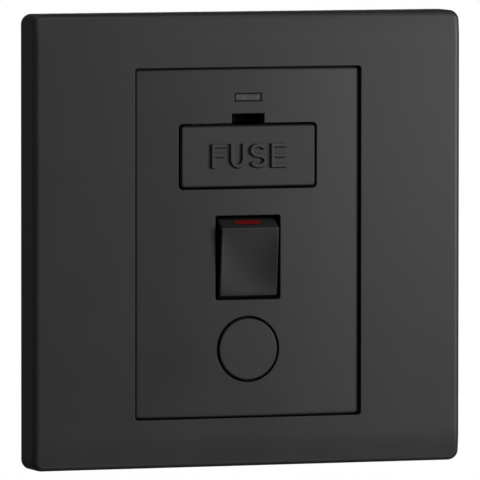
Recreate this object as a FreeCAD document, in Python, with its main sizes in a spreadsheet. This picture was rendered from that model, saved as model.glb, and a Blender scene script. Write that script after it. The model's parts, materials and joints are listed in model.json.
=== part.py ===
import FreeCAD, Part
import math
import os
import Sketcher

# Fused spur unit: a flush wall accessory with a fuse drawer, a rocker switch, an indicator
# window and a blanked cord outlet, behind a clip-on surround.
# Frame: the wall is the plane y = 0, the room is on the -Y side and the wall box on the +Y side,
# +X is to the right as seen from the room and +Z is up. The origin is the middle of the plate.
# Every height along Y is given as a level: millimetres in front of the wall, so a level below
# zero is inside the wall box.

doc = FreeCAD.newDocument("fused_spur_unit")
sheet = doc.addObject("Spreadsheet::Sheet", "dim")

same_place = 0.001
same_level = 0.02
least_cut = 0.0001
full_turn = 360
screw_sides = 12

driving_sizes = {
    # gaps and allowances that many pieces use
    "fit_gap": 0.1,
    "thread_gap": 0.02,
    "wire_gap": 0.4,
    "cut_past": 1,
    "merge_depth": 0.1,
    "arc_spare": 0.001,
    "full_round_spare": 0.01,
    # surround
    "plate_side": 86,
    "plate_front": 7.15,
    "plate_fall": 0.5,
    "plate_fall_run": 4.5,
    "plate_bend": 25,
    "plate_corner": 2,
    "plate_edge_round": 1.2,
    "plate_wall": 1.9,
    "opening_wide": 45.5,
    "opening_high": 66.5,
    "opening_low": 0.55,
    "opening_corner": 0.6,
    "collar_wall": 1.2,
    "clip_wide": 6,
    "clip_thick": 1.3,
    "clip_bite": 0.7,
    "clip_spread": 36,
    "clip_clear": 0.15,
    # front moulding
    "flange_wide": 73,
    "flange_high": 71,
    "flange_corner": 3,
    "flange_front": 2.8,
    "flange_thick": 1.6,
    "foot_inset": 2.5,
    "foot_wall": 1.4,
    "fixing_pitch": 60.3,
    "fixing_slot_wide": 4,
    "fixing_slot_long": 6,
    "fixing_boss": 8.4,
    "panel_gap": 0.2,
    "panel_front": 6.85,
    "panel_sag": 0.4,
    "panel_wall": 1.5,
    "panel_side_wall": 1.5,
    "panel_corner": 0.7,
    "panel_edge_round": 0.6,
    "rib_wall": 1.2,
    "tunnel_back": 4,
    # fuse drawer
    "drawer_wide": 27.82,
    "drawer_high": 12.48,
    "drawer_corner": 0.9,
    "drawer_level": 15.84,
    "drawer_gap": 0.4,
    "drawer_proud": 0.15,
    "drawer_plate": 2,
    "drawer_edge_bevel": 0.3,
    "drawer_wall": 0.65,
    "drawer_stop": 0.7,
    "drawer_stop_thick": 0.8,
    "drawer_guide_gap": 0.2,
    "drawer_travel": 13,
    "notch_wide": 6.6,
    "notch_high": 1.83,
    "notch_depth": 4,
    "notch_merge": 0.5,
    "notch_skin": 0.65,
    # fuse
    "fuse_long": 25.4,
    "fuse_radius": 3.175,
    "fuse_barrel_radius": 2.85,
    "fuse_cap_long": 6,
    "fuse_cap_end": 0.6,
    "fuse_depth": 1,
    "fuse_end_gap": 0.08,
    "fuse_grip_wide": 5,
    "fuse_grip_thick": 1.1,
    # rocker switch
    "well_wide": 13.12,
    "well_high": 16.05,
    "well_corner": 0.5,
    "well_level": -3.39,
    "well_side_gap": 0.14,
    "well_end_gap": 1,
    "pivot_depth": 0.14,
    "pivot_radius": 1.4,
    "rocker_wide": 11.54,
    "rocker_face": 7.86,
    "rocker_half": 6.43,
    "rocker_facet_out": 1.38,
    "rocker_facet_back": 2.86,
    "rocker_skirt": 2,
    "rocker_wall": 1.4,
    "rocker_edge_round": 0.3,
    "rocker_dish": 0.5,
    "rocker_tilt": 5.57,
    "rocker_block_high": 5.2,
    "rocker_block_back": 2.6,
    "hub_radius": 2.4,
    "hub_back": 4.8,
    "flash_wide": 4.9,
    "flash_from": 0.38,
    "flash_to": 0.92,
    "flash_deep": 0.6,
    "flash_corner": 0.75,
    "pole_offset": 3.2,
    "plunger_radius": 1.6,
    "plunger_reach": 9.75,
    "plunger_long": 5.6,
    "plunger_nose": 0.96,
    "spring_radius": 1.35,
    "spring_wire": 0.22,
    "spring_turns": 5,
    "spring_sides": 10,
    # switch contacts
    "strip_thick": 0.8,
    "strip_back": 14.3,
    "arm_axis_depth": 12.1,
    "arm_half_gap": 1.1,
    "arm_thick": 0.9,
    "arm_wide": 3.8,
    "arm_top": 11.5,
    "arm_bottom": 6,
    "arm_tilt": 6,
    "ear_thick": 0.5,
    "ear_back": 0.8,
    "ridge_radius": 1,
    "ridge_long": 3.4,
    "contact_reach": 10,
    "contact_radius": 1.5,
    "contact_high": 0.7,
    "contact_bevel": 0.35,
    "fixed_contact_high": 0.5,
    "strip_wide": 3.2,
    "strip_bank": 18,
    "strip_run": 1,
    "strip_low_bend": 0.4,
    "tab_half": 3,
    "tab_reach": 1.6,
    "tab_inset": 1,
    # fuse clips
    "clip_centre": 9.5,
    "tine_wide": 4.6,
    "tine_thick": 0.8,
    "tine_front": 1.5,
    "tine_flare": 0.5,
    "tine_lip": 1.5,
    # terminals
    "terminal_side": 7.5,
    "terminal_offset": 12,
    "terminal_top": 24.5,
    "terminal_bottom": 23.5,
    "wire_radius": 2.1,
    "wire_depth": 17.3,
    "terminal_screw_radius": 1.7,
    "terminal_screw_head_radius": 2.6,
    "terminal_screw_head_high": 1.8,
    # rear housing
    "housing_wide": 46,
    "housing_high": 62,
    "housing_corner": 2,
    "housing_depth": 26,
    "housing_wall": 2,
    "recess_top": 18.5,
    "recess_bottom": 12.2,
    "recess_rib": 1.4,
    "post_offset_x": 18.6,
    "post_offset_z": 26.5,
    "post_side": 4.8,
    "post_meeting": 3,
    "screw_radius": 1.3,
    "screw_head_radius": 2.4,
    "screw_head_high": 1.8,
    "screw_point": 1.5,
    "screw_tip_bevel": 0.8,
    "screw_end_gap": 0.2,
    "slot_width": 0.8,
    "slot_depth": 0.8,
    # cord outlet
    "outlet_radius": 6.3,
    "outlet_level": -20.75,
    "blank_gap": 0.4,
    "blank_proud": 0.2,
    "blank_plate": 1.5,
    "blank_edge_bevel": 0.25,
    "blank_wall": 1.2,
    "blank_long": 8,
    "blank_slit": 1.2,
    # indicator
    "window_wide": 5.5,
    "window_high": 1.6,
    "window_level": 26.98,
    "window_gap": 0.05,
    "lens_flange": 1,
    "board_wide": 18,
    "board_high": 5.2,
    "board_level": 26.1,
    "board_thick": 1.2,
    "board_front": 1.2,
    "led_wide": 5,
    "led_high": 2,
    "board_post": 2,
    "resistor_radius": 1.1,
    "resistor_long": 6,
    "resistor_rise": 0.5,
    "lead_side": 0.6,
    "lead_level": 24.1,
    "live_lead_x": 8,
    "neutral_lead_x": 3,
    "live_lead_depth": 6,
}

for row, (alias, number) in enumerate(driving_sizes.items(), 1):
    sheet.set(f"A{row}", alias)
    sheet.set(f"B{row}", str(number))
    sheet.setAlias(f"B{row}", alias)
doc.recompute()


def size(text):
    """The present value of an expression on the sheet."""
    return float(sheet.evalExpression(text))


# Sketches and features

def new_body(name):
    body = doc.addObject("PartDesign::Body", name)
    body.Label = name
    return body


def new_sketch(body, role, offset="0"):
    sketch = body.newObject("Sketcher::SketchObject", "outline")
    plane = next(item for item in body.Origin.OriginFeatures if item.Role == role)
    sketch.AttachmentSupport = [(plane, "")]
    sketch.MapMode = "FlatFace"
    sketch.setExpression(".AttachmentOffset.Base.z", offset)
    return sketch


def hold(sketch, kind, text, *where):
    index = sketch.addConstraint(Sketcher.Constraint(kind, *where, size(text)))
    sketch.setExpression(f"Constraints[{index}]", text)


def pin(sketch, curve, point, across, up):
    hold(sketch, "DistanceX", across, -1, 1, curve, point)
    hold(sketch, "DistanceY", up, -1, 1, curve, point)


def polygon(*points):
    """A closed outline through points given as pairs of expressions."""
    def draw(sketch):
        first = sketch.GeometryCount
        places = [FreeCAD.Vector(size(across), size(up), 0) for across, up in points]
        for start, end in zip(places, places[1:] + places[:1]):
            sketch.addGeometry(Part.LineSegment(start, end), False)
        for index, (across, up) in enumerate(points):
            following = first + (index + 1) % len(points)
            sketch.addConstraint(Sketcher.Constraint("Coincident", first + index, 2, following, 1))
            pin(sketch, first + index, 1, across, up)
    return draw


def arched(points, through, kind, centre):
    """Straight lines through the points in turn, closed by an arc through one more point."""
    def draw(sketch):
        first = sketch.GeometryCount
        places = [FreeCAD.Vector(size(across), size(up), 0) for across, up in points]
        for start, end in zip(places, places[1:]):
            sketch.addGeometry(Part.LineSegment(start, end), False)
        middle = FreeCAD.Vector(size(through[0]), size(through[1]), 0)
        arc = sketch.addGeometry(Part.Arc(places[-1], middle, places[0]), False)
        near = 1 if sketch.getPoint(arc, 1).distanceToPoint(places[-1]) < size("dim.thread_gap") else 2
        for index in range(first, arc - 1):
            sketch.addConstraint(Sketcher.Constraint("Coincident", index, 2, index + 1, 1))
        sketch.addConstraint(Sketcher.Constraint("Coincident", arc - 1, 2, arc, near))
        sketch.addConstraint(Sketcher.Constraint("Coincident", first, 1, arc, 3 - near))
        for index, (across, up) in enumerate(points[:-1], first):
            pin(sketch, index, 1, across, up)
        pin(sketch, arc - 1, 2, *points[-1])
        hold(sketch, kind, centre, -1, 1, arc, 3)
    return draw


def rectangle(wide, high, across="0", up="0"):
    left, right = f"({across}) - ({wide}) / 2", f"({across}) + ({wide}) / 2"
    low, top = f"({up}) - ({high}) / 2", f"({up}) + ({high}) / 2"
    return polygon((left, low), (right, low), (right, top), (left, top))


def round_rectangle(wide, high, radius, across="0", up="0"):
    """A rectangle with four equal arcs at its corners, held by the arcs' centres."""
    def draw(sketch):
        first = sketch.GeometryCount
        reach, rise = f"(({wide}) / 2 - ({radius}))", f"(({high}) / 2 - ({radius}))"
        corners = ((1, -1), (1, 1), (-1, 1), (-1, -1))
        centres = [(f"({across}) + {a} * {reach}", f"({up}) + {b} * {rise}") for a, b in corners]
        bend = size(radius)
        for index, (a, b) in enumerate(centres):
            centre = FreeCAD.Vector(size(a), size(b), 0)
            circle = Part.Circle(centre, FreeCAD.Vector(0, 0, 1), bend)
            start = (index - 1) * math.pi / 2
            sketch.addGeometry(Part.ArcOfCircle(circle, start, start + math.pi / 2), False)
        arcs = [sketch.Geometry[first + index] for index in range(4)]
        for index in range(4):
            line = Part.LineSegment(arcs[index].EndPoint, arcs[(index + 1) % 4].StartPoint)
            sketch.addGeometry(line, False)
        for index in range(4):
            line = first + 4 + index
            following = first + (index + 1) % 4
            sketch.addConstraint(Sketcher.Constraint("Tangent", first + index, 2, line, 1))
            sketch.addConstraint(Sketcher.Constraint("Tangent", line, 2, following, 1))
        for index in range(1, 4):
            sketch.addConstraint(Sketcher.Constraint("Equal", first, first + index))
        hold(sketch, "Radius", radius, first)
        for index, (a, b) in enumerate(centres):
            pin(sketch, first + index, 3, a, b)
    return draw


def disc(radius, across="0", up="0"):
    def draw(sketch):
        centre = FreeCAD.Vector(size(across), size(up), 0)
        circle = Part.Circle(centre, FreeCAD.Vector(0, 0, 1), size(radius))
        curve = sketch.addGeometry(circle, False)
        hold(sketch, "Radius", radius, curve)
        pin(sketch, curve, 3, across, up)
    return draw


def twelve_sided(radius, across="0", up="0"):
    """The outline of a small round piece or of its hole, drawn with straight sides."""
    turns = range(0, full_turn, full_turn // screw_sides)
    return polygon(*[(f"({across}) + ({radius}) * cos({turn})", f"({up}) + ({radius}) * sin({turn})")
                     for turn in turns])


def drawn(body, role, offset, outlines):
    sketch = new_sketch(body, role, offset)
    for draw in outlines:
        draw(sketch)
    return sketch


def slab(body, low, high, *outlines):
    """Adds material between two levels in front of the wall."""
    pad = body.newObject("PartDesign::Pad", "pad")
    pad.Profile = drawn(body, "XZ_Plane", low, outlines)
    pad.setExpression("Length", f"({high}) - ({low})")
    return pad


def cut(body, low, high, *outlines):
    """Takes material away between two levels in front of the wall."""
    pocket = body.newObject("PartDesign::Pocket", "pocket")
    pocket.Profile = drawn(body, "XZ_Plane", high, outlines)
    pocket.setExpression("Length", f"({high}) - ({low})")
    return pocket


def span(body, role, length, *outlines, middle="0"):
    """Adds a profile of constant section, centred on its own plane."""
    pad = body.newObject("PartDesign::Pad", "pad")
    pad.Profile = drawn(body, role, middle, outlines)
    pad.SideType = "Symmetric"
    pad.setExpression("Length", length)
    return pad


def cross_cut(body, role, length, *outlines, middle="0"):
    """Cuts a profile of constant section, centred on its own plane."""
    pocket = body.newObject("PartDesign::Pocket", "pocket")
    pocket.Profile = drawn(body, role, middle, outlines)
    pocket.SideType = "Symmetric"
    pocket.setExpression("Length", length)
    return pocket


def turned(body, kind, *outlines):
    """Revolves a half profile about the piece's own Y axis."""
    sketch = drawn(body, "YZ_Plane", "0", outlines)
    feature = body.newObject(kind, "turned")
    feature.Profile = sketch
    feature.ReferenceAxis = (sketch, ["H_Axis"])
    feature.Angle = full_turn
    return feature


def treat_edges(body, kind, measure, amount, chosen):
    """Rounds or bevels the edges of the piece that the test picks out."""
    doc.recompute()
    base = body.Tip
    names = [f"Edge{number}" for number, edge in enumerate(base.Shape.Edges, 1) if chosen(edge)]
    feature = body.newObject(kind, "edges")
    feature.Base = (base, names)
    feature.setExpression(measure, amount)
    return feature


def round_edges(body, radius, chosen):
    return treat_edges(body, "PartDesign::Fillet", "Radius", radius, chosen)


def bevel_edges(body, width, chosen):
    return treat_edges(body, "PartDesign::Chamfer", "Size", width, chosen)


def on_level(edge, level):
    return all(abs(-point.Point.y - size(level)) < same_level for point in edge.Vertexes)


def along_y(edge):
    start, end = edge.Vertexes[0].Point, edge.Vertexes[-1].Point
    sideways = abs(start.x - end.x) + abs(start.z - end.z)
    return sideways < same_place and abs(start.y - end.y) > same_place


def within(edge, half_wide, half_high, across="0", up="0"):
    box = edge.BoundBox
    middle_x, middle_z = size(across), size(up)
    wide, high = size(half_wide), size(half_high)
    return (abs(box.XMin - middle_x) < wide and abs(box.XMax - middle_x) < wide
            and abs(box.ZMin - middle_z) < high and abs(box.ZMax - middle_z) < high)


def place(body, across, level, up, tilt=None):
    """Sets a piece that was drawn about its own axis at its place in the unit."""
    body.Placement = FreeCAD.Placement(FreeCAD.Vector(), FreeCAD.Rotation(FreeCAD.Vector(1, 0, 0), 1))
    body.setExpression(".Placement.Base.x", across)
    body.setExpression(".Placement.Base.y", f"-({level})")
    body.setExpression(".Placement.Base.z", up)
    body.setExpression(".Placement.Rotation.Angle", tilt or "0")


# Levels and places that several pieces share
quarters = ((1, 1), (-1, 1), (1, -1), (-1, -1))
post_places = [(f"{side} * dim.post_offset_x", f"{side} * dim.post_offset_z") for side in (1, -1)]
plate_low = "(dim.plate_front - dim.plate_fall)"
plate_ceiling = f"({plate_low} - dim.plate_wall)"
panel_wide = "(dim.opening_wide - 2 * dim.panel_gap)"
panel_high = "(dim.opening_high - 2 * dim.panel_gap)"
panel_edge = "(dim.panel_front - dim.panel_sag)"
panel_inside = f"({panel_edge} - dim.panel_wall)"
flange_back = "(dim.flange_front - dim.flange_thick)"
guide_wide = "(dim.drawer_wide - 2 * dim.drawer_gap + 2 * dim.drawer_stop + 2 * dim.drawer_guide_gap)"
well_inner_wide = "(dim.well_wide + 2 * dim.well_side_gap)"
well_inner_high = "(dim.well_high + 2 * dim.well_end_gap)"
drawer_top = "(dim.drawer_level + dim.drawer_high / 2)"
drawer_back = f"(dim.drawer_travel + dim.drawer_stop_thick + dim.fit_gap - {panel_inside})"
strip_front = "(dim.strip_back - dim.strip_thick)"
floor_depth = "(dim.housing_depth - dim.housing_wall)"
housing_back = "-dim.housing_depth"
deck = "-dim.strip_back"
fixed_contact_up = "(dim.well_level + dim.contact_reach * cos(dim.arm_tilt))"
fork_inner = "(dim.fuse_radius + dim.fit_gap)"
fork_outer = f"({fork_inner} + dim.tine_thick)"
fork_top = f"(dim.drawer_level + {fork_outer})"
notch_up = f"({drawer_top} + dim.notch_high / 2)"
fixing_places = [f"{side} * dim.fixing_pitch / 2" for side in (1, -1)]
past_panel = "(dim.panel_front + dim.cut_past)"
past_tunnels = "(-dim.tunnel_back - dim.cut_past)"
outlet_wall = ("dim.outlet_radius + dim.rib_wall", "0", "dim.outlet_level")
terminal_by_name = {
    "supply_live": ("-dim.terminal_offset", "dim.terminal_top"),
    "supply_neutral": ("0", "dim.terminal_top"),
    "earth": ("dim.terminal_offset", "dim.terminal_top"),
    "load_neutral": ("-dim.terminal_offset", "-dim.terminal_bottom"),
    "load_live": ("dim.terminal_offset", "-dim.terminal_bottom"),
}
terminal_places = list(terminal_by_name.values())


# Surround

def is_bend(edge):
    """The plate's two long edges between its crown and its falls, not the short ones at its sides."""
    box, slack = edge.BoundBox, size("dim.merge_depth")
    at_side = abs(box.XMin) > size("dim.plate_side / 2") - slack and box.XLength < slack
    return on_level(edge, "dim.plate_front") and box.ZLength < slack and not at_side


def is_plate_rim(edge):
    box, inside = edge.BoundBox, size("dim.plate_side / 2 - dim.plate_corner - dim.merge_depth")
    outer = max(box.XMin, -box.XMax, box.ZMin, -box.ZMax) > inside
    return outer and box.YMax < size("dim.merge_depth") - size(plate_low)


def make_surround():
    body = new_body("surround_frame")
    opening = ("0", "-dim.opening_low")
    half, bend = "dim.plate_side / 2", "(dim.plate_side / 2 - dim.plate_fall_run)"
    span(body, "YZ_Plane", "dim.plate_side", polygon(
        ("0", f"-{half}"), (f"-{plate_low}", f"-{half}"), ("-dim.plate_front", f"-{bend}"),
        ("-dim.plate_front", bend), (f"-{plate_low}", half), ("0", half)))
    round_edges(body, "dim.plate_bend", is_bend)
    round_edges(body, "dim.plate_corner", along_y)
    round_edges(body, "dim.plate_edge_round", is_plate_rim)
    inner = "(dim.plate_side - 2 * dim.plate_wall)"
    cut(body, "0", plate_ceiling, round_rectangle(inner, inner, "dim.plate_corner"))
    collar = [f"dim.opening_{side} + 2 * dim.collar_wall" for side in ("wide", "high")]
    inside = f"{plate_ceiling} + dim.merge_depth"
    slab(body, "dim.flange_front + dim.clip_clear", inside, rectangle(*collar, *opening))
    cut(body, "0", "dim.plate_front + dim.cut_past",
        round_rectangle("dim.opening_wide", "dim.opening_high", "dim.opening_corner", *opening))
    arms, barbs = [], []
    for side, end in quarters:
        across = f"{side} * dim.clip_spread / 2"
        edge = "dim.flange_high / 2 + dim.clip_clear"
        arm_up = f"{end} * ({edge} + dim.clip_thick / 2)"
        barb_up = f"{end} * ({edge} + (dim.clip_thick - dim.clip_bite) / 2)"
        arms.append(rectangle("dim.clip_wide", "dim.clip_thick", across, arm_up))
        barbs.append(rectangle("dim.clip_wide", "dim.clip_thick + dim.clip_bite", across, barb_up))
    slab(body, "dim.clip_clear", inside, *arms)
    slab(body, "dim.clip_clear", f"{flange_back} - dim.clip_clear", *barbs)


# Front moulding: flange, raised panel and the walls behind it

def bowed_front():
    """The panel's section: flat sides and back, and a front that bows out a little."""
    half = f"({panel_wide} / 2)"
    radius = f"(({half} ^ 2 + dim.panel_sag ^ 2) / (2 * dim.panel_sag))"
    points = ((half, f"-{panel_edge}"), (half, f"-{flange_back}"),
              (f"-{half}", f"-{flange_back}"), (f"-{half}", f"-{panel_edge}"))
    return arched(points, ("0", "-dim.panel_front"), "DistanceY", f"{radius} - dim.panel_front")


def is_panel_corner(edge):
    reach, rise = f"{panel_wide} / 2 + dim.cut_past", f"{panel_high} / 2 + dim.cut_past"
    in_front = edge.BoundBox.YMin < -size("dim.flange_front + dim.cut_past")
    return along_y(edge) and within(edge, reach, rise) and in_front


def make_flange_and_panel(body):
    slab(body, flange_back, "dim.flange_front",
         round_rectangle("dim.flange_wide", "dim.flange_high", "dim.flange_corner"))
    span(body, "XY_Plane", panel_high, bowed_front(), middle="-dim.opening_low")
    round_edges(body, "dim.panel_corner", is_panel_corner)
    round_edges(body, "dim.panel_edge_round",
                lambda edge: edge.BoundBox.YMax < size("dim.merge_depth") - size(panel_edge))
    inner = [f"{length} - 2 * dim.panel_side_wall" for length in (panel_wide, panel_high)]
    cut(body, "0", panel_inside, rectangle(*inner, "0", "-dim.opening_low"))
    foot = [f"dim.flange_{side} - 2 * dim.foot_inset" for side in ("wide", "high")]
    foot_inner = [f"{length} - 2 * dim.foot_wall" for length in foot]
    slab(body, "0", flange_back, rectangle(*foot), rectangle(*foot_inner))
    slab(body, "0", flange_back,
         *[rectangle("dim.fixing_boss", "dim.fixing_boss", across) for across in fixing_places])


def add_walls_behind(body):
    """The ribs round each way through the panel, the board's posts and the screw posts."""
    merge = f"{panel_inside} + dim.merge_depth"
    back, both = "-dim.tunnel_back", "2 * dim.rib_wall"
    slab(body, back, merge, rectangle(f"{guide_wide} + {both}", f"dim.drawer_high + {both}",
                                      "0", "dim.drawer_level"))
    slab(body, back, merge, rectangle(f"{well_inner_wide} + {both}", f"{well_inner_high} + {both}",
                                      "0", "dim.well_level"))
    slab(body, back, merge, disc(*outlet_wall))
    slab(body, "dim.panel_front - dim.notch_depth - dim.rib_wall", merge,
         rectangle(f"dim.notch_wide + {both}", f"dim.notch_high + {both}", "0", notch_up))
    slab(body, "dim.board_front", merge, *[
        rectangle("dim.board_post", "dim.board_high - dim.board_post",
                  f"{side} * (dim.board_wide - dim.board_post) / 2", "dim.board_level")
        for side in (1, -1)])
    slab(body, "-dim.post_meeting", merge,
         *[rectangle("dim.post_side", "dim.post_side", *where) for where in post_places])


def cut_ways_through(body):
    """The drawer's, the rocker's, the cord's, the window's and the screws' ways through."""
    cut(body, past_tunnels, past_panel,
        round_rectangle("dim.drawer_wide", "dim.drawer_high", "dim.drawer_corner",
                        "0", "dim.drawer_level"))
    cut(body, past_tunnels, panel_inside,
        rectangle(guide_wide, "dim.drawer_high", "0", "dim.drawer_level"))
    cut(body, "dim.panel_front - dim.notch_depth", past_panel,
        rectangle("dim.notch_wide", "dim.notch_high + dim.notch_merge",
                  "0", f"{notch_up} - dim.notch_merge / 2"))
    cut(body, past_tunnels, past_panel,
        round_rectangle("dim.well_wide", "dim.well_high", "dim.well_corner", "0", "dim.well_level"))
    cut(body, past_tunnels, panel_inside,
        rectangle(well_inner_wide, well_inner_high, "0", "dim.well_level"))
    cut(body, past_tunnels, past_panel, disc("dim.outlet_radius", "0", "dim.outlet_level"))
    cut(body, panel_inside, past_panel,
        rectangle("dim.window_wide", "dim.window_high", "0", "dim.window_level"))
    cross_cut(body, "YZ_Plane", f"{well_inner_wide} + 4 * dim.rib_wall",
              disc("dim.pivot_radius + dim.fit_gap", "dim.pivot_depth", "dim.well_level"))
    slot_end = "dim.fixing_slot_wide / 2 - dim.arc_spare"
    cut(body, "-dim.cut_past", "dim.flange_front + dim.cut_past", *[
        round_rectangle("dim.fixing_slot_long", "dim.fixing_slot_wide", slot_end, across)
        for across in fixing_places])
    cut(body, "-dim.post_meeting - dim.cut_past", "dim.screw_point + dim.screw_end_gap",
        *[twelve_sided("dim.screw_radius + dim.thread_gap", *where) for where in post_places])


def make_front_moulding():
    body = new_body("front_moulding")
    make_flange_and_panel(body)
    add_walls_behind(body)
    cut_ways_through(body)


# Rear housing

def make_rear_housing():
    body = new_body("rear_housing")
    slab(body, housing_back, flange_back,
         round_rectangle("dim.housing_wide", "dim.housing_high", "dim.housing_corner"))
    inner = [f"dim.housing_{side} - 2 * dim.housing_wall" for side in ("wide", "high")]
    cut(body, deck, f"{flange_back} + dim.cut_past", rectangle(*inner))
    cell = "dim.terminal_side + 2 * dim.fit_gap"
    cut(body, f"-{floor_depth}", deck, *[rectangle(cell, cell, *where) for where in terminal_places])
    recess_wide = f"(({inner[0]} - dim.recess_rib) / 2)"
    recess_high = "dim.recess_top + dim.recess_bottom"
    recess_up = "(dim.recess_top - dim.recess_bottom) / 2"
    cut(body, housing_back, f"{deck} - dim.housing_wall", *[
        rectangle(recess_wide, recess_high, f"{side} * ({recess_wide} + dim.recess_rib) / 2", recess_up)
        for side in (1, -1)])
    slab(body, deck, "-dim.tunnel_back - dim.fit_gap", disc(*outlet_wall))
    slab(body, deck, "-dim.post_meeting",
         *[rectangle("dim.post_side", "dim.post_side", *where) for where in post_places])
    drill_housing(body)


def drill_housing(body):
    """The cord's way, the screws' holes with their seats, and the wires' holes."""
    cut(body, housing_back, f"{flange_back} + dim.cut_past",
        disc("dim.outlet_radius", "0", "dim.outlet_level"))
    cut(body, housing_back, "-dim.post_meeting + dim.cut_past",
        *[twelve_sided("dim.screw_radius + dim.fit_gap", *where) for where in post_places])
    cut(body, housing_back, f"{housing_back} + dim.screw_head_high + dim.fit_gap",
        *[disc("dim.screw_head_radius + dim.fit_gap", *where) for where in post_places])
    cut(body, housing_back, f"-{floor_depth}",
        *[disc("dim.terminal_screw_head_radius + dim.wire_gap", *where) for where in terminal_places])
    for end in (1, -1):
        holes = [disc("dim.wire_radius + dim.wire_gap", across, "dim.wire_depth")
                 for across, up in terminal_places if size(up) * end > 0]
        cross_cut(body, "XY_Plane", "2 * (dim.housing_wall + dim.cut_past)", *holes,
                  middle=f"{end} * dim.housing_high / 2")


# Terminals, strips and fuse clips

def make_terminal(name, across, up):
    body = new_body(f"{name}_terminal")
    slab(body, f"-{floor_depth}", deck, rectangle("dim.terminal_side", "dim.terminal_side", across, up))
    cross_cut(body, "XY_Plane", "dim.terminal_side + 2 * dim.cut_past",
              twelve_sided("dim.wire_radius", across, "dim.wire_depth"), middle=up)
    cut(body, f"-{floor_depth}", "-dim.wire_depth",
        twelve_sided("dim.terminal_screw_radius + dim.thread_gap", across, up))


def make_screw(name, where, head_level, kind, long):
    """A slotted screw along Y, its head towards the wall box, with the sheet's sizes for its kind."""
    body = new_body(name)
    radius = f"dim.{kind}_radius"
    head_radius, head_high = f"dim.{kind}_head_radius", f"dim.{kind}_head_high"
    tip = f"{head_high} + {long}"
    slab(body, "0", head_high, twelve_sided(head_radius))
    slab(body, head_high, tip, twelve_sided(radius))
    bevel_edges(body, "dim.screw_tip_bevel", lambda edge: on_level(edge, tip))
    cut(body, "0", "dim.slot_depth", rectangle("dim.slot_width", f"2 * ({head_radius} + dim.cut_past)"))
    place(body, where[0], head_level, where[1])


def make_strip(name, points):
    body = new_body(name)
    slab(body, deck, f"-{strip_front}", polygon(*points))
    return body


def add_ridge(body, side):
    """The rounded bar that a contact arm rocks on."""
    top = "dim.ridge_radius - dim.arm_axis_depth"
    slab(body, f"-{strip_front}", top,
         rectangle("dim.ridge_long", "2 * dim.ridge_radius",
                   f"{side} * dim.pole_offset", "dim.well_level"))
    round_edges(body, "dim.ridge_radius - dim.full_round_spare",
                lambda edge: on_level(edge, top) and edge.BoundBox.XLength > size("dim.ridge_long") / 2)


def tine(end):
    """The outline of the tine above or below the fuse's cap, from its foot round to its web."""
    near, far = f"{end} * {fork_inner}", f"{end} * {fork_outer}"
    front, lip = "-dim.tine_front", "(dim.tine_lip - dim.tine_front)"
    flare = f"{end} * dim.tine_flare"
    points = [(strip_front, far), (lip, far), (front, f"{far} + {flare}"), (front, f"{near} + {flare}"),
              (lip, near), (f"({strip_front} - dim.tine_thick)", near)]
    return [(depth, f"dim.drawer_level + {up}") for depth, up in points]


def add_fork(body, side):
    """Two springy tines that take a fuse cap between them, joined across the back."""
    outline = tine(1) + tine(-1)[::-1]
    span(body, "YZ_Plane", "dim.tine_wide", polygon(*outline), middle=f"{side} * dim.clip_centre")


def make_fuse_clips():
    half, bank = "dim.strip_wide / 2", "dim.strip_bank"
    pole, contact_up = "dim.pole_offset", fixed_contact_up
    outer, inner = "(dim.clip_centre + dim.tine_wide / 2)", "(dim.clip_centre - dim.tine_wide / 2)"
    supply = make_strip("fuse_clip_supply", [
        (f"-{outer}", f"{contact_up} - {half}"), (f"-{pole} + {half}", f"{contact_up} - {half}"),
        (f"-{pole} + {half}", f"{contact_up} + {half}"), (f"-{inner}", f"{contact_up} + {half}"),
        (f"-{inner}", fork_top), (f"-{outer}", fork_top)])
    add_fork(supply, -1)
    tab_side, tab_top = "dim.terminal_offset - dim.tab_half", "-dim.terminal_bottom + dim.tab_half"
    load = make_strip("fuse_clip_load", [
        (inner, fork_top), (f"{bank} + {half}", fork_top), (f"{bank} + {half}", "-dim.terminal_bottom"),
        (tab_side, "-dim.terminal_bottom"), (tab_side, tab_top), (f"{bank} - {half}", tab_top),
        (f"{bank} - {half}", f"dim.drawer_level - {half}"), (inner, f"dim.drawer_level - {half}")])
    add_fork(load, 1)


def make_pole_strips():
    half, bank = "dim.strip_wide / 2", "dim.strip_bank"
    pole, contact_up = "dim.pole_offset", fixed_contact_up
    tab_side = "-dim.terminal_offset + dim.tab_half"
    tab_top, tab_low = f"{drawer_top} + dim.tab_reach", f"{drawer_top} - dim.tab_inset"
    axle_low, axle_high = f"dim.well_level - {half}", f"dim.well_level + {half}"
    supply_live = make_strip("supply_live_strip", [
        (tab_side, tab_low), (tab_side, tab_top), (f"-{bank} - {half}", tab_top),
        (f"-{bank} - {half}", axle_low), (f"-{pole} + {half}", axle_low),
        (f"-{pole} + {half}", axle_high), (f"-{bank} + {half}", axle_high),
        (f"-{bank} + {half}", tab_low)])
    add_ridge(supply_live, -1)
    make_strip("supply_neutral_strip", [
        (f"{pole} - {half}", f"{contact_up} - {half}"), (f"{pole} + {half}", f"{contact_up} - {half}"),
        (f"{pole} + {half}", f"dim.terminal_top + {half}"), (f"-{half}", f"dim.terminal_top + {half}"),
        (f"-{half}", f"dim.terminal_top - {half}"), (f"{pole} - {half}", f"dim.terminal_top - {half}")])
    run = "-dim.recess_bottom + dim.strip_run"
    low_side, foot = f"{run} - {half} + dim.strip_low_bend", "-dim.terminal_bottom - dim.tab_inset"
    load_neutral = make_strip("load_neutral_strip", [
        (f"{pole} + {half}", axle_high), (f"{pole} - {half}", axle_high),
        (f"{pole} - {half}", f"{run} + {half}"), (f"-dim.terminal_offset - {half}", f"{run} + {half}"),
        (f"-dim.terminal_offset - {half}", foot), (f"-dim.terminal_offset + {half}", foot),
        (f"-dim.terminal_offset + {half}", low_side), (f"{pole} + {half}", low_side)])
    add_ridge(load_neutral, 1)


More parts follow.
